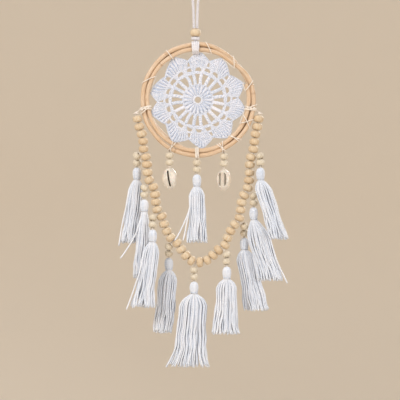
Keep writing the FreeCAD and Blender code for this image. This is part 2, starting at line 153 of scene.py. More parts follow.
# Golden angles, in radians, which spread strands and clumps evenly over a skirt's section.
STRAND_TURN = 2.39996
CLUMP_TURN = 2.4
# Strands that have come loose from a skirt: how far out they end, and their length as a share of the
# skirt's. How far out is from the skirt's edge, or on the tassel under the hoop from its middle.
STRAYS = {
    "hoop": ((-0.0235, 0.96), (-0.0150, 0.95)),
    "left_1": ((-0.0030, 1.03),),
    "left_2": ((0.0065, 0.52), (-0.0150, 0.70)),
    "left_3": ((-0.0060, 1.02),),
    "right_2": ((0.0050, 1.03),),
}


# ---- places ----

def joint_place(name):
    return np.array(next(joint["pos_m"] for joint in frame["joints"] if joint["name"] == name))


def solids_of(node):
    """The middle of each separate solid of a CAD node, from the highest down."""
    shape = bmesh.new()
    shape.from_mesh(frame["nodes"][node].data)
    bmesh.ops.remove_doubles(shape, verts=shape.verts, dist=1e-6)
    shape.faces.ensure_lookup_table()
    seen = set()
    middles = []
    for first in shape.faces:
        if first.index in seen:
            continue
        seen.add(first.index)
        solid = [first]
        # The list grows while the loop goes along it, until it holds every face of the solid.
        for face in solid:
            for other in (neighbour for edge in face.edges for neighbour in edge.link_faces):
                if other.index not in seen:
                    seen.add(other.index)
                    solid.append(other)
        areas = np.array([face.calc_area() for face in solid])
        centres = np.array([face.calc_center_median() for face in solid])
        middles.append(areas @ centres / areas.sum())
    shape.free()
    return sorted(middles, key=lambda middle: (-round(middle[2], 5), middle[0]))


def on_hoop(radius, angle, y):
    turn = math.radians(angle)
    return np.array([HOOP.x + radius * math.cos(turn), y, HOOP.z + radius * math.sin(turn)])


def hoop_angle(point):
    return math.degrees(math.atan2(point[2] - HOOP.z, point[0] - HOOP.x))


# ---- lines ----

def unit(vectors):
    return vectors / np.linalg.norm(vectors, axis=-1, keepdims=True)


def circle(count):
    """Even angles once round, in radians."""
    return np.linspace(0, 2 * math.pi, count, endpoint=False)


def hump(distance, width):
    """1 at no distance, and less and less beyond the width."""
    return np.exp(-(distance / width) ** 2)


def nearest(line, point):
    return int(np.argmin(np.linalg.norm(line - point, axis=1)))


def lengths_along(line):
    return np.concatenate([[0.0], np.cumsum(np.linalg.norm(np.diff(line, axis=0), axis=1))])


def respaced(line, spacing):
    along = lengths_along(line)
    count = max(3, int(round(along[-1] / spacing)) + 1)
    places = np.linspace(0, along[-1], count)
    return np.column_stack([np.interp(places, along, line[:, axis]) for axis in range(3)])


def smooth_line(points, spacing, closed=False):
    """A smooth line through the points, with even steps. A closed one ends on its first point."""
    points = np.array(points, float)
    if closed:
        padded = np.vstack([points[-1:], points, points[:2]])
    else:
        padded = np.vstack([2 * points[0] - points[1], points, 2 * points[-1] - points[-2]])
    share = np.linspace(0, 1, 10, endpoint=False)[:, None]
    spans = []
    for before, start, end, after in zip(padded, padded[1:], padded[2:], padded[3:]):
        bend = 2 * before - 5 * start + 4 * end - after
        twist = 3 * start - before - 3 * end + after
        spans.append(start + ((end - before) * share + bend * share ** 2 + twist * share ** 3) / 2)
    spans.append(padded[-2:-1])
    return respaced(np.vstack(spans), spacing)


def across(line, side, closed=False):
    """Two directions square to a line at each of its points, the first as near to side as it can be."""
    if closed:
        ahead = unit(np.roll(line, -1, axis=0) - np.roll(line, 1, axis=0))
    else:
        ahead = unit(np.gradient(line, axis=0))
    side = np.broadcast_to(np.asarray(side, float), line.shape)
    first = unit(side - ahead * np.sum(side * ahead, axis=1, keepdims=True))
    return first, np.cross(ahead, first)


def plies(line, side, count, offset, pitch):
    """The lines of the plies of a rope that follows a line."""
    first, second = across(line, side)
    along = lengths_along(line)
    for number in range(count):
        turn = 2 * math.pi * (along / pitch + number / count)
        yield line + offset * (first * np.cos(turn)[:, None] + second * np.sin(turn)[:, None])


def helix(centre, half_width, half_depth, start_z, end_z, turns, count):
    turn = np.linspace(0, turns * 2 * math.pi, count)
    return np.column_stack([
        centre[0] + half_width * np.cos(turn),
        centre[1] + half_depth * np.sin(turn),
        np.linspace(start_z, end_z, count),
    ])


def turned(widths, depths, heights, count):
    """The points of a turned surface, a row for each height."""
    turn = circle(count)
    return np.stack([
        np.outer(widths, np.cos(turn)),
        np.outer(depths, np.sin(turn)),
        np.outer(heights, np.ones(count)),
    ], -1)


def route_line(route):
    """The points of the NURBS line that has the route's points as its control points."""
    data = bpy.data.curves.new("route", "CURVE")
    data.dimensions = "3D"
    spline = data.splines.new("NURBS")
    spline.points.add(len(route) - 1)
    for point, (x, z) in zip(spline.points, route):
        point.co = (x, 0, z, 1)
    spline.order_u = 3
    spline.use_endpoint_u = True
    data.resolution_u = 12
    holder = bpy.data.objects.new("route", data)
    mesh = bpy.data.meshes.new_from_object(holder)
    line = np.array([vertex.co for vertex in mesh.vertices])
    bpy.data.meshes.remove(mesh)
    bpy.data.objects.remove(holder)
    bpy.data.curves.remove(data)
    return line


# ---- meshes ----

class Shape:
    """Tubes and turned surfaces, collected into one mesh with a map along and round each of them."""

    def __init__(self):
        self.points = []
        self.faces = []
        self.maps = []
        # One mark darkens a piece: painted shade in recesses and behind gaps, and on the cane its own dark
        # ring at each joint.
        self.marks = {"tint": [], "hollow": [], "grain": []}
        self.count = 0

    def surface(self, grid, wrap_rows=False, caps=False, tint=0.0, hollow=0.0, grain=0.0):
        """A grid of points, closed along its rows. Its first and last rows join or are capped."""
        rows, columns = grid.shape[:2]
        index = np.arange(rows * columns).reshape(rows, columns) + self.count
        self.count += rows * columns
        self.points.append(grid.reshape(-1, 3))
        if wrap_rows:
            grid, index = (np.concatenate([whole, whole[:1]]) for whole in (grid, index))
        beside = np.roll(index, -1, axis=1)
        quads = np.stack([index[:-1], beside[:-1], beside[1:], index[1:]], -1)
        self.faces += quads.reshape(-1, 4).tolist()
        along = lengths_along(grid[:, 0]) / MM
        places = np.stack(np.meshgrid(along, np.arange(columns + 1) / columns, indexing="ij"), -1)
        corners = [places[:-1, :-1], places[:-1, 1:], places[1:, 1:], places[1:, :-1]]
        self.maps.append(np.stack(corners, 2).reshape(-1, 2))
        if caps:
            self.faces += [index[0][::-1].tolist(), index[-1].tolist()]
            self.maps += [places[0, :-1][::-1], places[-1, :-1]]
        for mark, value in (("tint", tint), ("hollow", hollow), ("grain", grain)):
            size = (rows * columns, 3) if mark == "grain" else rows * columns
            self.marks[mark].append(np.broadcast_to(np.asarray(value, float), size))

    def tube(self, line, radius, side, sides=7, closed=False, **marks):
        if closed:
            line = line[:-1]
        first, second = across(line, side, closed)
        turn = circle(sides)
        ring = first[:, None] * np.cos(turn)[None, :, None] + second[:, None] * np.sin(turn)[None, :, None]
        radii = np.broadcast_to(np.asarray(radius, float), len(line))
        self.surface(line[:, None] + ring * radii[:, None, None], closed, not closed, **marks)

    def twine(self, points):
        """Thread of two plies through a row of points."""
        for ply in plies(smooth_line(points, 0.4 * MM), (0.3, 1, 0), 2, 0.26 * MM, 2.6 * MM):
            self.tube(ply, 0.3 * MM, (0.3, 1, 0), 6)

    def knot(self, centre, size, strand):
        """A small overhand knot, as a closed three-lobed loop of thread."""
        turn = np.linspace(0, 2 * math.pi, 49)
        reach = 2 + np.cos(3 * turn)
        loop = np.column_stack([reach * np.cos(2 * turn), np.sin(3 * turn) * 1.6, reach * np.sin(2 * turn)])
        self.tube(centre + loop * (size - strand) / 3, strand, (0.1, 1, 0.1), 7, True)

    def make(self, name, material, body, node):
        mesh = bpy.data.meshes.new(name)
        mesh.from_pydata(np.vstack(self.points).tolist(), [], self.faces)
        layer = mesh.uv_layers.new(name="Strand")
        layer.data.foreach_set("uv", np.vstack(self.maps).astype(np.float32).ravel())
        for mark, values in self.marks.items():
            kind, key = ("FLOAT_VECTOR", "vector") if mark == "grain" else ("FLOAT", "value")
            values = np.concatenate(values).astype(np.float32).ravel()
            mesh.attributes.new(mark, kind, "POINT").data.foreach_set(key, values)
        mesh.shade_smooth()
        mesh.materials.append(material)
        piece = bpy.data.objects.new(name, mesh)
        bpy.context.scene.collection.objects.link(piece)
        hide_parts(node)
        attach(piece, body)
        return piece


# ---- materials ----

class Look:
    """A material's nodes. Arguments are sockets, numbers or colours."""

    def __init__(self, name, roughness, **settings):
        self.material = bpy.data.materials.new(name)
        self.material.use_nodes = True
        self.tree = self.material.node_tree
        self.shader = self.tree.nodes["Principled BSDF"]
        self.shader.inputs["Roughness"].default_value = roughness
        for socket, value in settings.items():
            self.shader.inputs[socket.replace("_", " ")].default_value = value

    def put(self, socket, value):
        if isinstance(value, bpy.types.NodeSocket):
            self.tree.links.new(value, socket)
        else:
            socket.default_value = value

    def node(self, kind, inputs=(), output=0, **settings):
        """An output of a new node. Its inputs are given by name or in order, after its settings."""
        made = self.tree.nodes.new(f"ShaderNode{kind}")
        for name, value in settings.items():
            setattr(made, name, value)
        named = inputs if isinstance(inputs, dict) else dict(enumerate(inputs))
        for socket, value in named.items():
            self.put(made.inputs[socket], value)
        return made.outputs[output]

    def mark(self, name, output="Fac"):
        return self.node("Attribute", output=output, attribute_name=name)

    def strand_map(self):
        return self.split(self.node("UVMap", uv_map="Strand"))[:2]

    def split(self, vector):
        parts = self.tree.nodes.new("ShaderNodeSeparateXYZ")
        self.put(parts.inputs[0], vector)
        return tuple(parts.outputs)

    def join(self, x, y, z):
        return self.node("CombineXYZ", (x, y, z))

    def math(self, operation, *values):
        return self.node("Math", values, operation=operation)

    def times(self, first, second):
        return self.math("MULTIPLY", first, second)

    def noise(self, vector, scale, detail=3.0, roughness=0.55):
        inputs = {"Vector": vector, "Scale": scale, "Detail": detail, "Roughness": roughness}
        return self.node("TexNoise", inputs, "Fac")

    def place(self):
        return self.node("TexCoord", output="Object")

    def mix(self, share, first, second):
        return self.node("Mix", {"Factor": share, "A": first, "B": second}, "Result", data_type="RGBA")

    def marked(self, tone, mark, share, other):
        """The tone, with some of another where the piece has a mark."""
        return self.mix(self.times(self.mark(mark), share), tone, other)

    def between(self, value, low, high, start=0.0, end=1.0):
        return self.node("MapRange", (value, low, high, start, end))

    def bump(self, height, distance, strength, below=None):
        inputs = {"Strength": strength, "Distance": distance, "Height": height}
        if below is not None:
            inputs["Normal"] = below
        return self.node("Bump", inputs)

    def finish(self, colour, roughness, normal):
        self.put(self.shader.inputs["Base Color"], colour)
        self.put(self.shader.inputs["Roughness"], roughness)
        self.put(self.shader.inputs["Normal"], normal)
        return self.material


def colour(red, green, blue):
    """A colour that is given by its values from 0 to 255, as seen on a screen."""
    return tuple(((value / 255 + 0.055) / 1.055) ** 2.4 for value in (red, green, blue)) + (1.0,)


def cotton(name, light, shade, tinge, pitch):
    """Twisted cotton: slanting plies with painted shade in the grooves between them, fine fibres along them,
    and strands of slightly uneven colour.

    The pitch of its plies is in millimetres, as the strands' maps are."""
    look = Look(name, 0.9, Sheen_Weight=0.25, Sheen_Roughness=0.5, Specular_IOR_Level=0.25)
    u, v = look.strand_map()
    twist = look.math("ADD", look.math("DIVIDE", u, pitch), look.times(v, 2.0))
    ply = look.math("MULTIPLY_ADD", look.math("SINE", look.times(twist, 2 * math.pi)), 0.5, 0.5)
    fibre = look.noise(look.join(look.times(twist, 0.6), look.times(v, 9.0), u), 1.6)
    patch = look.noise(look.place(), 70.0)
    tone = look.mix(look.between(fibre, 0.35, 0.7), shade, light)
    # Painted shade: the grooves between the plies are darkened towards the shade colour.
    tone = look.mix(look.times(look.math("SUBTRACT", 1.0, ply), 0.28), tone, shade)
    tone = look.mix(look.between(patch, 0.52, 0.75, 0.0, 0.35), tone, tinge)
    tone = look.marked(tone, "tint", 0.5, tinge)
    # Painted shade: marked pieces, the crochet's ground sheets, take the shade colour.
    tone = look.marked(tone, "hollow", 0.9, shade)
    rough = look.between(fibre, 0.3, 0.7, 0.82, 0.97)
    normal = look.bump(ply, 0.00022, 0.8)
    normal = look.bump(fibre, 0.00012, 0.7, normal)
    return look.finish(tone, rough, normal)


def wood(name, pale, warm, dark, stripes):
    """Turned pale wood: rings and pores along the bore, each bead of its own tone, darker at the bore with
    painted shade.
    """
    look = Look(name, 0.5, Specular_IOR_Level=0.35, Coat_Weight=0.06, Coat_Roughness=0.35)
    grain = look.mark("grain", "Vector")
    x, y, z = look.split(grain)
    rings = look.noise(look.join(x, y, look.times(z, 0.18)), stripes, 4.0)
    pores = look.noise(look.join(x, y, look.times(z, 0.1)), stripes * 5, 2.0, 0.7)
    cloud = look.noise(grain, 140.0)
    tone = look.mix(look.between(rings, 0.38, 0.66), pale, warm)
    tone = look.marked(tone, "tint", 0.65, warm)
    tone = look.mix(look.between(pores, 0.58, 0.72, 0.0, 0.4), tone, dark)
    tone = look.mix(look.between(cloud, 0.5, 0.75, 0.0, 0.25), tone, dark)
    # Painted shade: darker towards and inside the bore.
    tone = look.marked(tone, "hollow", 0.85, dark)
    rough = look.between(rings, 0.3, 0.7, 0.42, 0.62)
    normal = look.bump(pores, 0.00012, 0.5)
    normal = look.bump(rings, 0.00025, 0.4, normal)
    return look.finish(tone, rough, normal)


def rattan():
    """Split-free cane: long fibres, paler and browner lengths, a dark ring at each joint."""
    look = Look("rattan_cane", 0.5, Specular_IOR_Level=0.4, Coat_Weight=0.12, Coat_Roughness=0.3)
    u, v = look.strand_map()
    turn = look.times(v, 2 * math.pi)
    round_x = look.math("COSINE", turn)
    round_y = look.math("SINE", turn)
    streaks = look.noise(look.join(round_x, round_y, look.times(u, 0.03)), 5.0, 5.0, 0.65)
    lengths = look.noise(look.join(look.times(round_x, 0.3), round_y, look.times(u, 0.05)), 1.1)
    fine = look.noise(look.join(round_x, round_y, look.times(u, 0.08)), 17.0, 2.0)
    tone = look.mix(look.between(lengths, 0.35, 0.65), colour(212, 190, 166), colour(204, 172, 138))
    tone = look.mix(look.between(streaks, 0.48, 0.68, 0.0, 0.75), tone, colour(174, 138, 102))
    tone = look.mix(look.between(fine, 0.55, 0.75, 0.0, 0.35), tone, colour(226, 206, 180))
    # On the cane this mark is its own dark ring at each joint.
    tone = look.marked(tone, "hollow", 0.75, colour(128, 88, 55))
    rough = look.between(streaks, 0.3, 0.7, 0.38, 0.6)
    normal = look.bump(streaks, 0.0003, 0.5)
    normal = look.bump(fine, 0.00012, 0.5, normal)
    return look.finish(tone, rough, normal)


def shell():
    """Cowrie: glazed ivory with greyish clouds and fine growth lines, with painted shade near black in its
    slit and in the grooves of its cut back.
    """
    look = Look("cowrie", 0.25, Specular_IOR_Level=0.55, Coat_Weight=0.3, Coat_Roughness=0.15,
                Subsurface_Weight=0.06, Subsurface_Scale=0.004)
    grain = look.mark("grain", "Vector")
    x, y, z = look.split(grain)
    lines = look.noise(look.join(x, y, look.times(z, 0.15)), 900.0, 3.0)
    cloud = look.noise(grain, 190.0, 2.0)
    tone = look.mix(look.between(cloud, 0.35, 0.68), colour(222, 214, 202), colour(196, 188, 178))
    tone = look.mix(look.between(lines, 0.52, 0.72, 0.0, 0.4), tone, colour(170, 160, 150))
    tone = look.marked(tone, "tint", 0.55, colour(205, 178, 140))
    # Painted shade: near black where the slit and the back's grooves are marked.
    tone = look.marked(tone, "hollow", 1.0, colour(40, 33, 30))
    rough = look.between(lines, 0.3, 0.7, 0.2, 0.42)
    return look.finish(tone, rough, look.bump(lines, 0.0002, 0.4))


def backdrop_material():
    look = Look("studio_sweep", 0.9)
    cloud = look.noise(look.place(), 1.5)
    tone = look.mix(cloud, colour(226, 215, 200), colour(222, 211, 196))
    return look.finish(tone, 0.9, look.bump(look.noise(look.place(), 300.0), 0.0002, 0.1))


ROPE = cotton("rope_cotton", colour(244, 242, 246), colour(190, 188, 194), colour(238, 230, 226), 2.6)
CROCHET = cotton("crochet_cotton", colour(244, 249, 255), colour(168, 178, 200), colour(242, 238, 242), 1.3)
THREAD = cotton("tying_thread", colour(252, 248, 242), colour(220, 208, 196), colour(242, 226, 208), 1.1)
TASSEL = cotton("tassel_cotton", colour(244, 249, 255), colour(186, 196, 214), colour(242, 241, 244), 1.8)
RATTAN = rattan()
GARLAND_WOOD = wood("garland_wood", colour(210, 196, 172), colour(202, 176, 142), colour(150, 120, 88), 900)
DROP_WOOD = wood("drop_wood", colour(214, 206, 190), colour(200, 186, 162), colour(150, 128, 102), 1100)
SHELL = shell()


# ---- camera and cords ----

def add_camera():
    data = bpy.data.cameras.new("camera")
    data.lens = CAMERA_LENS
    data.sensor_width = CAMERA_LENS * VIEW_WIDTH / CAMERA_DISTANCE
    data.clip_start = 0.05
    data.clip_end = 20
    camera = bpy.data.objects.new("camera", data)
    camera.location = CAMERA_AIM - Vector((0, CAMERA_DISTANCE, 0))
    camera.rotation_euler = (math.pi / 2, 0, 0)
    bpy.context.scene.collection.objects.link(camera)
    bpy.context.scene.camera = camera


def add_hanging_loop():
    line = route_line(LOOP_ROUTE)
    ply_radius = LOOP_DIAMETER / 2 / (1 + 2 / math.sqrt(3))
    rope = Shape()
    for ply in plies(respaced(line, 0.45 * MM), (0, 1, 0), 3, LOOP_DIAMETER / 2 - ply_radius, LOOP_PLY_PITCH):
        rope.tube(ply, ply_radius * 1.04, (0, 1, 0), 9, tint=rng.uniform(0, 0.4))
    piece = rope.make("hanging_rope", ROPE, "hanger", "hanging_loop")


def add_garland_cord():
    line = route_line(GARLAND_ROUTE)
    fine = respaced(line, 0.4 * MM)
    ply_radius = GARLAND_DIAMETER / 4
    string = Shape()
    for ply in plies(fine, (0, 1, 0), 2, ply_radius, GARLAND_PLY_PITCH):
        string.tube(ply, ply_radius * 1.1, (0, 1, 0), 6, tint=rng.uniform(0, 0.4))
    piece = string.make("garland_string", THREAD, "garland", "garland_cord")
    return fine


# ---- beads ----

def bead(shape, centre, axis, diameter, height, bore, squareness):
    """A turned bead with a bore, slightly out of round, that holds its wood's grain and tone."""
    angles = np.linspace(-1.0, 1.0, 15) * (math.pi / 2) * 0.93
    outside = np.cos(angles) ** (2 / squareness) * diameter / 2
    outside = np.maximum(outside, bore / 2 + 0.15 * MM)
    heights = np.sign(np.sin(angles)) * np.abs(np.sin(angles)) ** (2 / squareness) * height / 2
    inside_heights = np.array([0.5, 0.42, 0.2, -0.2, -0.42, -0.5]) * height * 0.985
    inside = np.full(6, bore / 2)
    radii = np.concatenate([outside, inside])
    levels = np.concatenate([heights, inside_heights])
    turn = circle(30)
    phase = rng.uniform(0, 2 * math.pi, 2)
    uneven = 1 + 0.012 * np.cos(2 * turn + phase[0]) + 0.008 * np.cos(3 * turn + phase[1])
    axis = unit(np.asarray(axis, float))
    first = unit(np.cross(axis, (0.1, 1.0, 0.05)))
    second = np.cross(axis, first)
    local = turned(radii, radii, levels, len(turn))
    local[..., :2] *= uneven[:, None]
    tilt = rng.normal(0, 0.012, 2)
    local[..., 2] += local[..., 0] * tilt[0] + local[..., 1] * tilt[1]
    grid = centre + local[..., :1] * first + local[..., 1:2] * second + local[..., 2:] * axis
    # Painted shade: the bore and the face next to it are marked to be darkened.
    rim = np.clip(1 - (radii - bore / 2) / (0.7 * MM), 0, 1)
    grain = (local + rng.uniform(-1, 1, 3) * 0.3)[:, ::-1].reshape(-1, 3)
    hollow = np.repeat(rim, len(turn))
    shape.surface(grid[:, ::-1], True, tint=rng.uniform(0, 1) ** 1.5, hollow=hollow, grain=grain)


def add_garland_beads(line):
    beads = Shape()
    ahead = np.gradient(line, axis=0)
    for centre in solids_of("garland_beads"):
        place = nearest(line, centre)
        height = GARLAND_BEAD_HEIGHT * rng.uniform(0.94, 1.02)
        diameter = GARLAND_BEAD_DIAMETER * rng.uniform(0.95, 1.02)
        bead(beads, line[place], ahead[place], diameter, height, GARLAND_BEAD_BORE, 2.75)
    beads.make("garland_turned_beads", GARLAND_WOOD, "garland", "garland_beads")


def add_hanger_bead():
    low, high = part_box("hanger_bead")
    beads = Shape()
    bead(beads, np.array((low + high) / 2), (0, 0, 1), high.x - low.x, high.z - low.z,
         HANGER_BEAD_BORE, 2.6)
    beads.make("hanger_turned_bead", GARLAND_WOOD, "hanger_bead", "hanger_bead")


def add_drop_beads(name, body, line=None):
    """The two small beads of a drop. Under the garland, the first one's axis runs to the garland's line."""
    first, second = solids_of(f"drop_beads_{name}")
    axes = [(0, 0, -1), (0, 0, -1)]
    if line is not None:
        axes = [second - line[nearest(line, first)], second - first]
    beads = Shape()
    for centre, axis in zip((first, second), axes):
        diameter = DROP_BEAD_DIAMETER * rng.uniform(0.96, 1.02)
        bead(beads, centre, axis, diameter, DROP_BEAD_HEIGHT, DROP_BEAD_BORE, rng.uniform(2.1, 2.5))
    beads.make(f"drop_turned_beads_{name}", DROP_WOOD, body, f"drop_beads_{name}")


# ---- hanger and hoop ----

def add_whipping():
    low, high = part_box("strap_whipping")
    middle = np.array((low + high) / 2)
    half_width = (high.x - low.x) / 2
    half_depth = (high.y - low.y) / 2
    strand = 0.52 * MM
    line = helix(middle, half_width - strand, half_depth - strand, high.z - strand, low.z + strand, 3.3, 120)
    winding = Shape()
    winding.tube(line, strand, (0, 0, 1), 8)
    levels = np.array([-0.5, -0.46, 0.0, 0.46, 0.5]) * (high.z - low.z)
    widths = np.array([0.5, 0.86, 0.88, 0.86, 0.5])
    winding.surface(middle + turned(widths * half_width, widths * half_depth, levels, 32), False, True)
    winding.make("strap_winding", ROPE, "whipping", "strap_whipping")


def add_strap():
    """Four cotton cords side by side, looped round the top of the hoop."""
    _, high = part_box("hoop_strap")
    cord_radius = 1.08 * MM
    front = HOOP_FRONT - cord_radius - 0.2 * MM
    back = HOOP_BACK + cord_radius + 0.1 * MM
    top = high.z - cord_radius
    bottom = HOOP.z + HOOP_INSIDE - cord_radius - 0.2 * MM
    section = [
        (0.0, top), (front * 0.6, top - 0.9 * MM), (front * 0.94, top - 3.2 * MM),
        (front, (top + bottom) / 2), (front * 0.97, bottom + 2.2 * MM), (front * 0.55, bottom - 0.3 * MM),
        (0.3 * MM, bottom - 0.5 * MM), (back * 0.6, bottom + 1.4 * MM),
        (back, (top + bottom) / 2 + 0.5 * MM), (back * 0.75, top - 1.4 * MM),
    ]
    strap = Shape()
    for place in (-1.5, -0.5, 0.5, 1.5):
        points = []
        for y, z in section:
            narrowing = 1 - 0.2 * (top - z) / (top - bottom)
            lowered = 0.4 * MM * place ** 2 * np.clip((z - bottom) / (top - bottom), 0, 1) ** 2
            points.append((place * 2.0 * MM * narrowing + rng.normal(0, 0.04 * MM), y, z - lowered))
        line = smooth_line(points, 0.5 * MM, True)
        strap.tube(line, cord_radius, (1, 0, 0), 10, True, tint=rng.uniform(0, 0.3))
    strap.make("strap_cords", ROPE, "hoop", "hoop_strap")


def crossing(turned, start, length):
    """From 0 to 1 while the cane crosses to its next turn."""
    share = np.clip((turned - start) / length, 0, 1)
    return share ** 2 * (3 - 2 * share)


def cane_line(start, end):
    """A stretch of the one long cane, by how many degrees it has gone round clockwise from its first end.

    The outside turn bulges at the lower right. The one behind comes inwards at the lower left."""
    turned = np.arange(start, end + 0.01, 1.5)
    turn = np.radians(CANE_START - turned)
    around = np.degrees(turn) % 360
    to_outer = crossing(turned, *TO_OUTER_TURN)
    to_back = crossing(turned, *TO_BACK_TURN)
    bulge = 0.9 * MM * hump(around - 331, 13) * (1 - to_back) * to_outer
    inward = hump(around - 228, 34) * to_back
    radius = INNER_TURN + (OUTER_TURN - INNER_TURN) * to_outer + (BACK_TURN - OUTER_TURN) * to_back
    radius = radius + bulge - 4.7 * MM * inward
    radius = radius + 0.22 * MM * np.sin(4 * turn + turned / 50) + 0.16 * MM * np.sin(11 * turn + turned / 40)
    y = FRONT_Y + (BACK_Y - FRONT_Y) * to_back
    y = y + 0.9 * MM * inward + 0.12 * MM * np.sin(7 * turn + turned / 50)
    return np.column_stack([HOOP.x + radius * np.cos(turn), y, HOOP.z + radius * np.sin(turn)])


def add_canes():
    """One long cane in three turns, each turn a piece that stands for one turn of the CAD hoop."""
    gone = 0.02
    for name, (start, end) in CANE_TURNS.items():
        line = respaced(cane_line(start, end), 1.2 * MM)
        along = lengths_along(line) + gone
        gone = along[-1]
        from_joint = np.abs((along + CANE_JOINT_SPACING / 2) % CANE_JOINT_SPACING - CANE_JOINT_SPACING / 2)
        radii = CANE_RADIUS * (0.965 + 0.03 * np.sin(along * 75) + 0.06 * hump(from_joint, 1.6 * MM))
        cane = Shape()
        sides = 18
        ring_mark = np.repeat(hump(from_joint, 0.7 * MM) * 0.7, sides)
        cane.tube(line, radii, (0, 1, 0), sides, hollow=ring_mark)
        cane.make(f"cane_turn_{name}", RATTAN, "hoop", f"hoop_cane_{name}")


# ---- doily ----

def petal_pull(angle):
    """How far the doily's edge is pulled round at an angle, in degrees."""
    return np.interp(angle, PETAL_ANGLES, PETAL_PULL, period=360)


def doily_point(radius, angle, y=0.0):
    share = np.clip((radius - POST_END) / (PETAL_VALLEY - POST_END), 0, 1)
    turn = np.radians(angle + petal_pull(angle) * share)
    ripple = 0.35 * MM * np.sin(np.radians(angle) * 3) * radius / PETAL_TIP
    ripple = ripple - TIP_LIFT * np.clip((radius - 0.043) / (PETAL_TIP - 0.043), 0, 1) ** 2
    return np.stack(np.broadcast_arrays(HOOP.x + radius * np.cos(turn), y + ripple,
                                        HOOP.z + radius * np.sin(turn)), -1)


def petal_edge(angle):
    """The doily's outline: ten pointed petals."""
    step = 360 / PETALS
    from_tip = np.abs((angle - 90 + step / 2) % step - step / 2) / (step / 2)
    return PETAL_VALLEY + (PETAL_TIP - PETAL_VALLEY) * (1 - from_tip ** 0.92)


def stitch(doily, start, end, start_width, end_width, bow=0.0):
    """A tall stitch: two strands wound round each other from one round of crochet to the next."""
    share = np.linspace(0, 1, max(5, int(abs(end[0] - start[0]) / (0.42 * MM))))
    radius = start[0] + (end[0] - start[0]) * share
    angle = start[1] + (end[1] - start[1]) * share + bow * np.sin(share * math.pi)
    line = doily_point(radius, angle)
    width = start_width + (end_width - start_width) * share
    first, second = across(line, (0, 1, 0))
    turn = 2 * math.pi * lengths_along(line) / (3.4 * MM) + rng.uniform(0, 6)
    for phase in (0, math.pi):
        depth = 0.42 * MM * np.sin(turn + phase)
        sideways = 0.24 * width * np.cos(turn + phase)
        strand = line + first * depth[:, None] + second * sideways[:, None]
        doily.tube(strand, 0.26 * width, (0, 1, 0), 7, tint=rng.uniform(0, 1))


def plait(doily, radius, half_width, strand, links):
    """A round of chain stitches, as a plait of three strands that follows radius(angle)."""
    angle = np.linspace(0, 360, 721)
    line = doily_point(radius(angle), angle)
    first, second = across(line, (0, 1, 0))
    for number in range(3):
        turn = 2 * math.pi * (links * angle / 360 + number / 3)
        sideways = half_width * np.sin(turn)
        depth = 0.75 * strand * np.sin(2 * turn)
        path = line + second * sideways[:, None] + first * depth[:, None]
        doily.tube(path, strand, (0, 1, 0), 6, True, tint=rng.uniform(0, 1))


def ring(radius):
    return lambda angle: np.full_like(angle, radius)


def uneven_ring(radius):
    """A round that is drawn in a little where the stitches under it pull."""
    waves = rng.uniform(0, 6, 2)
    return lambda angle: (radius + 0.25 * MM * np.cos(np.radians(angle) * SPACES + waves[0])
                          + 0.3 * MM * np.cos(np.radians(angle) * 7 + waves[1]))


def scalloped_ring(angle):
    """The round that the petals stand on."""
    return NET_EDGE + 0.4 * MM * np.cos(np.radians((angle - 90) * SPACES))


def add_ground(doily, inner, outer, around, half_thickness, hollow):
    """A flat ring that closes the gaps between stitches from behind. It sits in their shade, and its mark
    colours it with painted shade.
    """
    rows = [(inner, -1), (outer, -1), (outer, 1), (inner, 1)]
    points = [doily_point(radius, around, side * half_thickness) for radius, side in rows]
    doily.surface(np.stack(points), True, hollow=hollow)


def add_petal_ground(doily):
    """The thin middle of the petals' close stitches, left open at the slits between the petals."""
    around = np.linspace(0, 360, 361)[:-1]
    from_valley = np.abs((around - 90) % (360 / PETALS) - 180 / PETALS)
    outer = petal_edge(around) - 0.6 * MM
    inner = NET_EDGE + 0.5 * MM
    inner = inner + (outer - 0.6 * MM - inner) * hump(from_valley, 3.6)
    # Painted shade: the petals' ground is fully marked to take the shade colour.
    add_ground(doily, inner, outer, around, 0.25 * MM, 1.0)


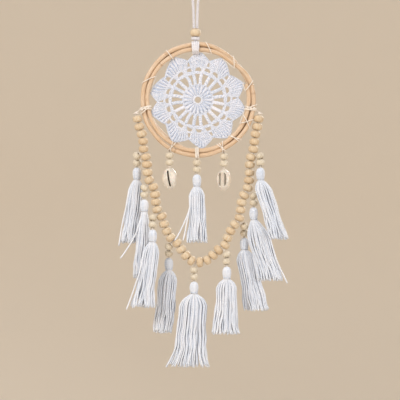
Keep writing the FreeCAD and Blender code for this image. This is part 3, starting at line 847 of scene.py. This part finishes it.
def add_doily():
    doily = Shape()
    plait(doily, ring(EYE_RING), 0.55 * MM, 0.48 * MM, 18)
    # Painted shade: the ground of the middle disc is marked to take the shade colour.
    add_ground(doily, EYE_RING, DISC_EDGE, np.linspace(0, 360, 61)[:-1], 0.3 * MM, 0.8)
    half_step = 180 / SPACES
    for number in range(SPACES):
        angle = 90 + number * 2 * half_step
        stitch(doily, (EYE_RING + 0.4 * MM, angle), (DISC_EDGE + 0.5 * MM, angle), 1.5 * MM, 3.9 * MM)
        lean = rng.normal(0, 1.0)
        stitch(doily, (DISC_RING + 0.5 * MM, angle + half_step), (POST_END, angle + half_step + lean),
               4.0 * MM, 3.8 * MM, rng.normal(0, 1.0))
    plait(doily, ring(DISC_RING), 0.6 * MM, 0.46 * MM, 2 * SPACES)
    plait(doily, uneven_ring(CHAIN_RING), 0.75 * MM, 0.55 * MM, 3 * SPACES)
    plait(doily, uneven_ring(CHAIN_RING + 1.2 * MM), 0.5 * MM, 0.5 * MM, 2 * SPACES)
    for number in range(SPACES):
        angle = 90 + (number + 0.5) * 2 * half_step
        for side in (-1, 0, 1):
            stitch(doily, (CHAIN_RING + 0.5 * MM, angle + side * 1.3), (NET_EDGE, angle + side * 4.6),
                   2.0 * MM, 2.2 * MM, side * -1.0 + rng.normal(0, 0.4))
    plait(doily, scalloped_ring, 0.7 * MM, 0.52 * MM, 3 * SPACES)
    add_petal_ground(doily)
    for middle in PETAL_ANGLES:
        for place in np.linspace(-1, 1, PETAL_POSTS):
            outer = middle + place * 15.6
            edge = float(petal_edge(outer)) - 0.6 * MM
            split = (NET_EDGE + edge) / 2 + rng.normal(0, 0.3 * MM)
            inner = middle + place * 13.4
            stitch(doily, (NET_EDGE + 0.2 * MM, inner), (split, (inner + outer) / 2), 2.2 * MM, 2.6 * MM)
            stitch(doily, (split, (inner + outer) / 2), (edge, outer), 2.7 * MM, 3.0 * MM)
    plait(doily, petal_edge, 0.65 * MM, 0.5 * MM, 12 * PETALS)
    doily.make("crochet_round", CROCHET, "hoop", "crochet_doily")


# ---- ties ----

def hoop_reach(angle):
    """How far out the canes come at an angle. It is less where a turn crosses to its next place."""
    offset = cane_line(0, CANE_END) - np.array(HOOP)
    around = np.degrees(np.arctan2(offset[:, 2], offset[:, 0]))
    near = np.abs((around - angle + 180) % 360 - 180) < 2
    return np.hypot(offset[near, 0], offset[near, 2]).max() + CANE_RADIUS


def turn_round_hoop(angle, slant, strand):
    """One turn of thread round the canes. Slant is in degrees, from the middle to the hoop's edge."""
    outside = hoop_reach(angle + slant)
    middle = (HOOP_INSIDE + outside) / 2
    half = (outside - HOOP_INSIDE) / 2
    section = [
        (HOOP_INSIDE - strand, FRONT_Y), (HOOP_INSIDE + 0.7 * MM, HOOP_FRONT + 0.5 * MM - strand),
        (HOOP_INSIDE + 2.3 * MM, HOOP_FRONT - strand), (middle, HOOP_FRONT - strand * 0.9),
        (outside - 2.3 * MM, HOOP_FRONT - strand), (outside - 0.7 * MM, HOOP_FRONT + 0.5 * MM - strand),
        (outside + strand, FRONT_Y), (outside - 1.2 * MM, 1.7 * MM + strand),
        (middle + 1.8 * MM, HOOP_BACK - 0.5 * MM + strand), (middle, HOOP_BACK + strand),
        (middle - 1.8 * MM, HOOP_BACK - 0.5 * MM + strand), (HOOP_INSIDE + 1.2 * MM, 1.7 * MM + strand),
    ]
    points = [on_hoop(radius, angle + slant * (radius - middle) / half, y) for radius, y in section]
    return smooth_line(points, 0.6 * MM, True)


def wind(shape, angle, slants, spread, strand):
    """Turns of thread round the hoop, side by side, with their own slants."""
    side = on_hoop(1, angle + 90, 0) - on_hoop(0, 0, 0)
    for number, slant in enumerate(slants):
        place = angle + spread * (number - (len(slants) - 1) / 2)
        shape.tube(turn_round_hoop(place, slant, strand * (1 + 0.3 * number)), strand, side, 7, True,
                   tint=rng.uniform(0, 1))


def add_lacing():
    strand = 0.5 * MM
    lacing = Shape()
    for centre in solids_of("doily_lacing"):
        angle = hoop_angle(centre)
        slants = next(slants for place, slants in LACING_SLANTS.items() if abs(place - angle) < 2)
        wind(lacing, angle, slants, 0.5, strand)
        tip = min(PETAL_ANGLES, key=lambda place: abs((place + petal_pull(place) - angle + 180) % 360 - 180))
        end = on_hoop(HOOP_INSIDE - strand, angle - slants[0], FRONT_Y)
        start = doily_point(PETAL_TIP - 0.8 * MM, tip, -0.4 * MM)
        lacing.tube(smooth_line([start, (start + end) / 2 + (0, -0.3 * MM, 0), end], 0.6 * MM), strand,
                    (0, 1, 0.1), 7)
        lacing.knot(start, 1.1 * MM, 0.34 * MM)
    lacing.make("lacing_threads", THREAD, "hoop", "doily_lacing")


def add_garland_ties():
    ties = Shape()
    strand = 0.56 * MM
    for centre in solids_of("garland_ties"):
        angle = hoop_angle(centre)
        sign = 1 if centre[0] > HOOP.x else -1
        end = GARLAND_ROUTE[-1] if sign > 0 else GARLAND_ROUTE[0]
        knot = np.array([end[0], 0, joint_place("garland_swing")[2]])
        wind(ties, angle, (0.5, 1.2, -1.0, 2.6), 1.1, strand)
        start = on_hoop(HOOP_OUTSIDE + strand, angle, 0.0)
        ties.tube(smooth_line([start, (start + knot) / 2 + (0.3 * MM * sign, -0.4 * MM, 0), knot], 0.5 * MM),
                  0.6 * MM, (0, 1, 0.1), 8)
        ties.knot(knot, 1.8 * MM, 0.62 * MM)
        ties.knot(on_hoop(HOOP_OUTSIDE - 1.0 * MM, angle + 0.6, HOOP_FRONT - 0.8 * MM), 1.5 * MM, 0.5 * MM)
        tail = np.array([(0, 0, 0), (sign * 1.6, -0.5, 0.2), (sign * 3.4, -0.3, -0.9)]) * MM
        ties.tube(smooth_line(knot + tail, 0.5 * MM), 0.45 * MM, (0, 1, 0.1), 7)
    ties.make("garland_tie_cords", THREAD, "hoop", "garland_ties")


# ---- drops ----

def add_garland_thread(name, line):
    pivot = joint_place(f"tassel_{name}_swing")
    first, second = solids_of(f"drop_beads_{name}")
    place = nearest(line, first)
    start = line[place]
    ahead = unit(np.gradient(line, axis=0))[place]
    thread = Shape()
    thread.twine([start, first, second, pivot])
    turn = np.linspace(0, 2 * math.pi, 25)[:, None]
    outward = unit(np.cross(ahead, (0, 1, 0)))
    loop = start + 1.2 * MM * (outward * np.cos(turn) + np.array([0, 1.0, 0]) * np.sin(turn))
    for shift in (-0.45, 0.45):
        thread.tube(loop + ahead * shift * MM, 0.42 * MM, ahead, 7, True)
    thread.knot(pivot, 1.0 * MM, 0.34 * MM)
    thread.make(f"drop_string_{name}", THREAD, "garland", f"thread_{name}")


def add_hoop_thread(side, slants, spread, strand):
    low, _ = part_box(f"thread_hoop_{side}")
    beads = solids_of(f"drop_beads_hoop_{side}")
    x = beads[0][0]
    edge = np.array([x, 0, HOOP.z - math.sqrt(HOOP_OUTSIDE ** 2 - (x - HOOP.x) ** 2)])
    thread = Shape()
    wind(thread, hoop_angle(edge), slants, spread, strand)
    thread.twine([edge, *beads, (x, 0, low.z)])
    thread.knot(edge - (0, 0, 0.8 * MM), 1.2 * MM, 0.4 * MM)
    thread.make(f"drop_string_hoop_{side}", THREAD, "hoop", f"thread_hoop_{side}")


# ---- tassels ----

def skirt_outline(node, top, bottom):
    """Middle and half-width of a CAD skirt at even steps from its top to its bottom."""
    mesh = frame["nodes"][node].data
    points = np.array([vertex.co for vertex in mesh.vertices])
    start, end = np.swapaxes(points[np.array([edge.vertices for edge in mesh.edges])], 0, 1)
    rise = end[:, 2] - start[:, 2]
    sections = []
    for z in np.linspace(top - 0.3 * MM, bottom + 0.3 * MM, 13):
        cut = (start[:, 2] - z) * (end[:, 2] - z) <= 0
        share = np.clip((z - start[cut, 2]) / np.where(rise[cut] == 0, 1, rise[cut]), 0, 1)
        x = start[cut, 0] + (end[cut, 0] - start[cut, 0]) * share
        sections.append((x.min(), x.max()))
    low, high = np.array(sections).T
    return (low + high) / 2, (high - low) / 2


def add_strays(yarn, name, pivot, top, length, middles, halves):
    """Strands that have come loose from a skirt. They run in front of it and out sideways."""
    levels = np.linspace(0, 1, len(middles))
    share = np.linspace(0, 1, 9)
    for reach, extent in STRAYS.get(name, ()):
        sign = math.copysign(1, reach)
        edge = 0.9 * np.interp(share * extent, levels, halves)
        out = np.clip((share - 0.35) / 0.65, 0, 1) ** 1.6 * (abs(reach) - edge[-1] * (name == "hoop"))
        stray = np.column_stack([
            np.interp(share * extent, levels, middles) + sign * (edge + out) + 0.6 * MM * np.sin(share * 7),
            pivot[1] - 2.6 * MM * np.minimum(share * 4, 1) + 0.5 * MM * np.sin(share * 9),
            top - share * extent * length,
        ])
        yarn.tube(smooth_line(stray, 1.9 * MM), STRAND_RADIUS, (0.2, 1, 0), 6, tint=0.9)


def add_tassel(name):
    """A head of strands side by side, and under its neck a skirt of strands that hang in clumps."""
    pivot = joint_place(f"tassel_{name}_swing")
    low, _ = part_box(f"tassel_{name}")
    top = pivot[2] - NECK_BELOW
    length = top - low.z
    middles, halves = skirt_outline(f"tassel_{name}", top, low.z)
    levels = np.linspace(0, 1, len(middles))
    strands = int(34 + 3000 * halves[-1])
    shoulder_end = SLOPING_SHOULDER_END if name in SLOPING_TASSELS else SHOULDER_END
    shoulder = np.interp(0.45, levels, halves) * (1 - np.clip(1 - levels / shoulder_end, 0, 1) ** 2.2)
    halves = np.maximum(halves, shoulder)
    yarn = Shape()
    core = pivot - np.outer(HEAD_LEVELS + 0.1 * MM, (0, 0, 1))
    yarn.tube(core, HEAD_RADII, (0, 1, 0), 14)
    clump_count = max(5, strands // 8)
    clump_angle = np.arange(clump_count) * CLUMP_TURN + rng.uniform(0, 6)
    clump_reach = np.sqrt((np.arange(clump_count) + 0.5) / clump_count)
    clumps = np.column_stack([clump_reach * np.cos(clump_angle), clump_reach * np.sin(clump_angle)])
    clump_waves = rng.uniform(0, 2 * math.pi, (clump_count, 2))
    share = np.linspace(0, 1, 30)
    down = share * length
    middle = np.interp(share, levels, middles)
    half = np.interp(share, levels, halves) * (1 + END_SPREAD * share ** 2) - STRAND_RADIUS
    depth = 2.2 * MM + 1.0 * MM * np.minimum(share / 0.2, 1)
    for number in range(strands):
        outer = number < HEAD_STRANDS
        if outer:
            around = 2 * math.pi * (number + rng.uniform(-0.15, 0.15)) / HEAD_STRANDS
            reach = 0.96
        else:
            around = number * STRAND_TURN
            reach = 0.93 * math.sqrt((number - HEAD_STRANDS + 0.5) / (strands - HEAD_STRANDS))
        spoke = np.array([math.cos(around), math.sin(around)])
        place = reach * spoke
        clump = nearest(clumps, place)
        spot = place + (clumps[clump] - place) * 0.25 * share[:, None] ** 2
        own_length = length * rng.uniform(0.95, 1.0)
        sway = 0.8 * MM * share * np.sin(down / (6.0 * MM) + clump_waves[clump, 0])
        sway = sway + 0.45 * MM * share * np.sin(down / (3.1 * MM) + rng.uniform(0, 6))
        ripple = 0.4 * MM * share * np.sin(down / (5.5 * MM) + clump_waves[clump, 1])
        strand = np.column_stack([
            middle + spot[:, 0] * half + sway,
            pivot[1] + spot[:, 1] * depth + ripple,
            top - share * own_length,
        ])
        side = (0.2, 1, 0)
        if outer:
            side = (-spoke[1], spoke[0], 0.05)
            head = pivot + np.column_stack([HEAD_RADII * spoke[0], HEAD_RADII * spoke[1], -HEAD_LEVELS])
            strand = np.vstack([head[:-1], strand])
        line = smooth_line(strand, 1.9 * MM)
        radii = np.full(len(line), STRAND_RADIUS)
        radii[-1] *= 0.8
        yarn.tube(line, radii, side, 6, tint=rng.uniform(0, 1))
    add_strays(yarn, name, pivot, top, length, middles, halves)
    yarn.make(f"tassel_strands_{name}", TASSEL, f"tassel_{name}", f"tassel_{name}")
    add_binding(name, pivot)


def add_binding(name, pivot):
    low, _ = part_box(f"binding_{name}")
    strand = 0.42 * MM
    turns = 2.4
    radius = 2.5 * MM + STRAND_RADIUS + strand * 0.6
    bottom = low.z + strand * 0.6
    top = bottom + 2 * strand * turns * 0.92
    binding = Shape()
    binding.tube(helix(pivot, radius, radius, bottom, top, turns, 70), strand, (0, 0, 1), 8)
    binding.make(f"binding_thread_{name}", TASSEL, f"tassel_{name}", f"binding_{name}")


# ---- shells ----

def add_cowrie(side, turned):
    """A cowrie with its bowed slit and toothed lips, and its back cut open, as strung shells have it."""
    pivot = joint_place(f"cowrie_{side}_spin")
    low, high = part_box(f"cowrie_{side}")
    height = high.z - low.z
    width, depth = 15.5 * MM, 11.0 * MM
    rows, columns = 84, 144
    level = np.sin(np.linspace(-1, 1, rows) * (math.pi / 2) * 0.985)[:, None]
    around = circle(columns)[None, :]
    egg = np.maximum(1 - np.abs(level) ** 1.95, 0) ** 0.56 * (1 + 0.09 * level)
    x = width / 2 * egg * np.cos(around) * (1 - 0.02 * np.cos(2 * around))
    flat_front = np.where(np.sin(around) < 0, 0.86, 1.05)
    y = depth / 2 * egg * np.sin(around) * flat_front
    z = height / 2 * np.broadcast_to(level, x.shape)
    front = np.clip(-np.sin(around), 0, 1) * np.clip(egg * 1.6, 0, 1)
    slit_x = -1.0 * MM - 1.9 * MM * level + 0.9 * MM * level ** 2
    from_slit = np.abs(x - slit_x)
    reach = np.clip((0.74 - np.abs(level - 0.03)) / 0.1, 0, 1)
    slit = np.exp(-(from_slit / (0.72 * MM)) ** 4) * reach * (front > 0.05)
    teeth = 0.5 + 0.5 * np.cos(z / MM * 2 * math.pi / 1.25)
    lips = hump(from_slit - 1.5 * MM, 0.8 * MM) * reach * (front > 0.05)
    y = y + 2.4 * MM * slit - lips * (0.45 + 0.35 * teeth) * MM
    back = np.sin(around) > 0.05
    cut = 3.9 * MM
    opened = back & (y > cut)
    rim = np.clip((y - cut) / (0.6 * MM), 0, 1) * back
    groove = hump(x + 2.9 * MM, 0.95 * MM) + hump(x - 3.1 * MM, 0.95 * MM)
    y = np.where(opened, cut + 0.05 * MM, y)
    y = y - rim * groove * 2.6 * MM
    y = y - rim * 0.5 * MM * (1 - groove) * (np.abs(x) > 3.6 * MM)
    # Painted shade: the slit and the grooves of the cut back are marked to be darkened.
    hollow = np.minimum(slit * 1.15, 1) + rim * np.maximum(groove - 0.25, 0) * 0.85
    y = y + 0.06 * MM * np.sin(np.arctan2(z, x + 1e-9) * 26) * front * (1 - np.clip(lips + slit, 0, 1))
    turn = math.radians(turned)
    centre = np.array([pivot[0], pivot[1], (low.z + high.z) / 2])
    ahead, aside = math.cos(turn), math.sin(turn)
    grid = np.stack([x * ahead - y * aside, x * aside + y * ahead, z], -1)
    local = np.stack([x, y, z], -1).reshape(-1, 3) + rng.uniform(-1, 1, 3) * 0.3
    edge_tint = (np.clip(np.abs(x) / (width / 2) - 0.7, 0, 1) * 2.2 + rim * 0.25).ravel()
    body = Shape()
    body.surface(centre + grid, False, True, tint=edge_tint, hollow=hollow.ravel(), grain=local)
    body.make(f"cowrie_shell_{side}", SHELL, f"cowrie_{side}", f"cowrie_{side}")
    knot = Shape()
    knot.knot(joint_place(f"cowrie_{side}_swing"), 1.3 * MM, 0.42 * MM)
    knot.make(f"cowrie_tie_{side}", THREAD, f"cowrie_{side}_knot", f"cowrie_knot_{side}")


# ---- studio ----

def add_sweep():
    """A pale round floor whose edge sweeps up into a wall all round."""
    floor_z = -1.1
    floor_radius, corner, wall = 2.2, 0.9, 3.4
    turn = np.linspace(0, math.pi / 2, 14)
    radii = [0.3, 1.2, floor_radius, *(floor_radius + corner * np.sin(turn)), floor_radius + corner]
    heights = [0.0, 0.0, 0.0, *(corner * (1 - np.cos(turn))), wall]
    columns = 96
    grid = turned(radii, radii, np.array(heights) + floor_z, columns)
    mesh = bpy.data.meshes.new("studio_floor")
    index = np.arange(len(radii) * columns).reshape(-1, columns)
    quads = np.stack([index[:-1], index[1:], np.roll(index[1:], -1, 1), np.roll(index[:-1], -1, 1)], -1)
    mesh.from_pydata(grid.reshape(-1, 3).tolist(), [], quads.reshape(-1, 4).tolist() + [index[0].tolist()])
    mesh.shade_smooth()
    mesh.materials.append(backdrop_material())
    floor = bpy.data.objects.new("studio_floor", mesh)
    bpy.context.scene.collection.objects.link(floor)


def add_light(name, place, size, power, tone):
    data = bpy.data.lights.new(name, "AREA")
    data.shape = "DISK"
    data.size = size
    data.energy = power
    data.color = tone
    light = bpy.data.objects.new(name, data)
    light.location = place
    light.rotation_euler = (CAMERA_AIM - Vector(place)).to_track_quat("-Z", "Y").to_euler()
    light.visible_camera = False
    bpy.context.scene.collection.objects.link(light)


def add_studio():
    add_sweep()
    add_light("key", (-1.1, -1.3, 0.9), 0.9, 28, (1.0, 0.99, 0.98))
    add_light("fill", (1.3, -1.4, -0.2), 1.6, 16, (0.95, 0.97, 1.0))
    add_light("back", (0.9, 1.5, 0.7), 1.0, 22, (1.0, 0.98, 0.96))
    world = bpy.data.worlds.new("studio")
    world.use_nodes = True
    world.node_tree.nodes["Background"].inputs["Color"].default_value = (0.96, 0.98, 1.0, 1)
    world.node_tree.nodes["Background"].inputs["Strength"].default_value = 0.74
    bpy.context.scene.world = world
    bpy.context.scene.view_settings.view_transform = "Standard"


# ---- the object ----

add_camera()
add_hanging_loop()
garland_line = add_garland_cord()
add_garland_beads(garland_line)
add_hanger_bead()
add_whipping()
add_strap()
add_canes()
add_doily()
add_lacing()
add_garland_ties()
for tassel_name in TASSEL_NAMES:
    add_garland_thread(tassel_name, garland_line)
    add_drop_beads(tassel_name, "garland", garland_line)
    add_tassel(tassel_name)
add_hoop_thread("left", (1.5, -1.5), 0.7, 0.42 * MM)
add_hoop_thread("centre", (0.3, 0.0, -0.3, 0.2), 1.05, 0.52 * MM)
add_hoop_thread("right", (2.5, 0.5, -2.5), 0.9, 0.42 * MM)
for side_name in ("left", "centre", "right"):
    add_drop_beads(f"hoop_{side_name}", "hoop")
add_tassel("hoop")
add_cowrie("left", 0)
add_cowrie("right", 150)
add_studio()
